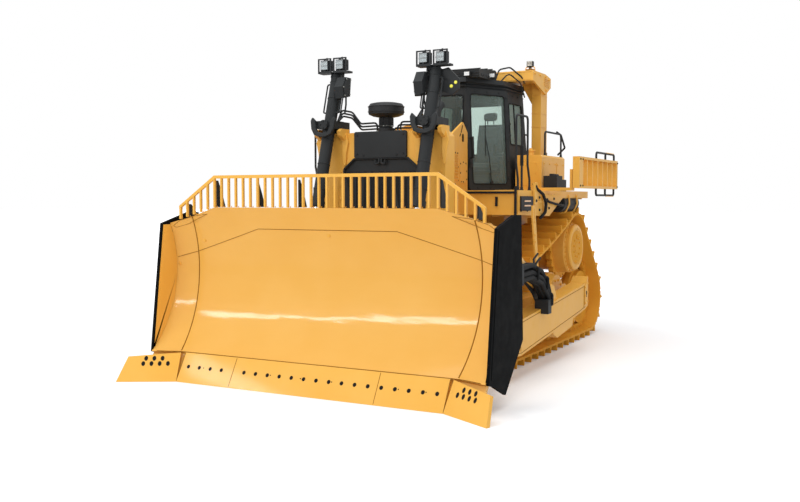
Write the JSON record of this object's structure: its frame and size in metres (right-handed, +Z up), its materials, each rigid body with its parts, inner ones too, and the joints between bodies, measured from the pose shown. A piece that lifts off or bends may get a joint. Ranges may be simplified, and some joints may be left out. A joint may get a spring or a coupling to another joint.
{
  "type": "bulldozer",
  "caption": "Large crawler bulldozer with raised sprockets, a semi-U blade on push arms, lift and tilt cylinders, a cab with opening doors and a swing-down access ladder.",
  "frame": {"origin": "on the ground, below the middle of the machine's length and width with the blade's cutting edge resting on the ground", "axes": "-Y forwards, towards the blade; +X to the machine's left; +Z up"},
  "size_m": [5.6148, 8.3789, 5],
  "materials": {
    "yellow_paint": "gloss enamel over rolled and welded steel plate",
    "black_paint": "satin black enamel",
    "cast_block": "painted casting",
    "black_plastic": "moulded, fine texture",
    "seat_cloth": "woven cloth",
    "rod_chrome": "hard chrome, polished",
    "cab_glass": "green tinted safety glass"
  },
  "bodies": {
    "root": {"left_track": "yellow_paint", "right_track": "yellow_paint", "left_track_frame": "yellow_paint", "right_track_frame": "yellow_paint", "left_idlers": "yellow_paint", "right_idlers": "yellow_paint", "left_rollers": "yellow_paint", "right_rollers": "yellow_paint", "sprockets": "yellow_paint", "final_drives": "yellow_paint", "main_frame": "yellow_paint", "rear_case": "yellow_paint", "equalizer_bar": "yellow_paint", "drawbar": "yellow_paint", "radiator_guard": "yellow_paint", "hood": "yellow_paint", "left_fender": "yellow_paint", "right_fender": "yellow_paint", "side_tanks": "yellow_paint", "fuel_tank": "yellow_paint", "cab_base": "yellow_paint", "rops": "yellow_paint", "radiator_grille": "black_paint", "nose_plate": "black_paint", "lift_mounts": "black_paint", "cab_shell": "black_paint", "cab_roof": "black_paint", "handrails": "black_paint", "engine_block": "cast_block", "precleaner": "black_plastic", "dashboard": "black_plastic", "roof_lamp": "black_plastic", "operator_seat": "seat_cloth", "cab_glass": "cab_glass"},
    "push_arms": {"left_push_arm": "yellow_paint", "right_push_arm": "yellow_paint"},
    "blade": {"moldboard": "yellow_paint", "blade_back": "yellow_paint", "end_plates": "black_paint", "cutting_edges": "yellow_paint", "end_bits": "yellow_paint", "rock_guard": "yellow_paint"},
    "left_lift_cylinder": {"left_lift_cylinder": "black_paint", "left_lift_lamps": "black_paint"},
    "left_lift_rod": {"left_lift_rod": "rod_chrome"},
    "right_lift_cylinder": {"right_lift_cylinder": "black_paint", "right_lift_lamps": "black_paint"},
    "right_lift_rod": {"right_lift_rod": "rod_chrome"},
    "left_tilt_cylinder": {"left_tilt_cylinder": "yellow_paint"},
    "left_tilt_rod": {"left_tilt_rod": "rod_chrome"},
    "right_tilt_cylinder": {"right_tilt_cylinder": "yellow_paint"},
    "right_tilt_rod": {"right_tilt_rod": "rod_chrome"},
    "left_door": {"left_door": "black_paint", "left_door_glass": "cab_glass"},
    "right_door": {"right_door": "black_paint", "right_door_glass": "cab_glass"},
    "ladder": {"ladder": "yellow_paint"}
  },
  "joints": [
    {"name": "blade_lift", "type": "hinge", "parent": "root", "child": "push_arms", "pos_m": [0, 1.2, 0.8], "axis": [-1, 0, 0], "range_deg": [-8.9, 17.5]},
    {"name": "blade_pitch", "type": "hinge", "parent": "push_arms", "child": "blade", "pos_m": [0, -2.85, 0.6], "axis": [-1, 0, 0], "range_deg": [-5, 5]},
    {"name": "left_lift_swing", "type": "hinge", "parent": "root", "child": "left_lift_cylinder", "pos_m": [0.84, -1.665, 3.66], "axis": [-1, 0, 0], "range_deg": [-2.2, 4]},
    {"name": "left_lift_stroke", "type": "slide", "parent": "left_lift_cylinder", "child": "left_lift_rod", "axis": [0, -0.2794, -0.9602], "range_m": [-1.11, 0.57]},
    {"name": "left_tilt_swing", "type": "hinge", "parent": "push_arms", "child": "left_tilt_cylinder", "pos_m": [2.05, -0.12, 1.12], "axis": [-1, 0, 0], "range_deg": [-0.7, 0.7]},
    {"name": "left_tilt_stroke", "type": "slide", "parent": "left_tilt_cylinder", "child": "left_tilt_rod", "axis": [0, -0.9253, 0.3792], "range_m": [-0.14, 0.14]},
    {"name": "right_lift_swing", "type": "hinge", "parent": "root", "child": "right_lift_cylinder", "pos_m": [-0.84, -1.665, 3.66], "axis": [-1, 0, 0], "range_deg": [-2.2, 4]},
    {"name": "right_lift_stroke", "type": "slide", "parent": "right_lift_cylinder", "child": "right_lift_rod", "axis": [0, -0.2794, -0.9602], "range_m": [-1.11, 0.57]},
    {"name": "right_tilt_swing", "type": "hinge", "parent": "push_arms", "child": "right_tilt_cylinder", "pos_m": [-2.05, -0.12, 1.12], "axis": [-1, 0, 0], "range_deg": [-0.7, 0.7]},
    {"name": "right_tilt_stroke", "type": "slide", "parent": "right_tilt_cylinder", "child": "right_tilt_rod", "axis": [0, -0.9253, 0.3792], "range_m": [-0.14, 0.14]},
    {"name": "left_door_hinge", "type": "hinge", "parent": "root", "child": "left_door", "pos_m": [0.81534, 1.63732, 2.68173], "axis": [-0.0535, 0.0264, 0.9982], "range_deg": [0, 80]},
    {"name": "right_door_hinge", "type": "hinge", "parent": "root", "child": "right_door", "pos_m": [-0.81534, 1.63732, 2.68173], "axis": [-0.0535, -0.0264, -0.9982], "range_deg": [0, 80]},
    {"name": "ladder_swing", "type": "hinge", "parent": "root", "child": "ladder", "pos_m": [2.305, 0.7, 2.97], "axis": [-1, 0, 0], "range_deg": [0, 90]}
  ],
  "couplings": [
    {"joint": "left_lift_swing", "follows": "blade_lift", "ratio": 0.215},
    {"joint": "left_lift_stroke", "follows": "blade_lift", "m_per_rad": -3.575},
    {"joint": "left_tilt_swing", "follows": "blade_pitch", "ratio": 0.115},
    {"joint": "left_tilt_stroke", "follows": "blade_pitch", "m_per_rad": -1.515},
    {"joint": "right_lift_swing", "follows": "blade_lift", "ratio": 0.215},
    {"joint": "right_lift_stroke", "follows": "blade_lift", "m_per_rad": -3.575},
    {"joint": "right_tilt_swing", "follows": "blade_pitch", "ratio": 0.115},
    {"joint": "right_tilt_stroke", "follows": "blade_pitch", "m_per_rad": -1.515}
  ]
}
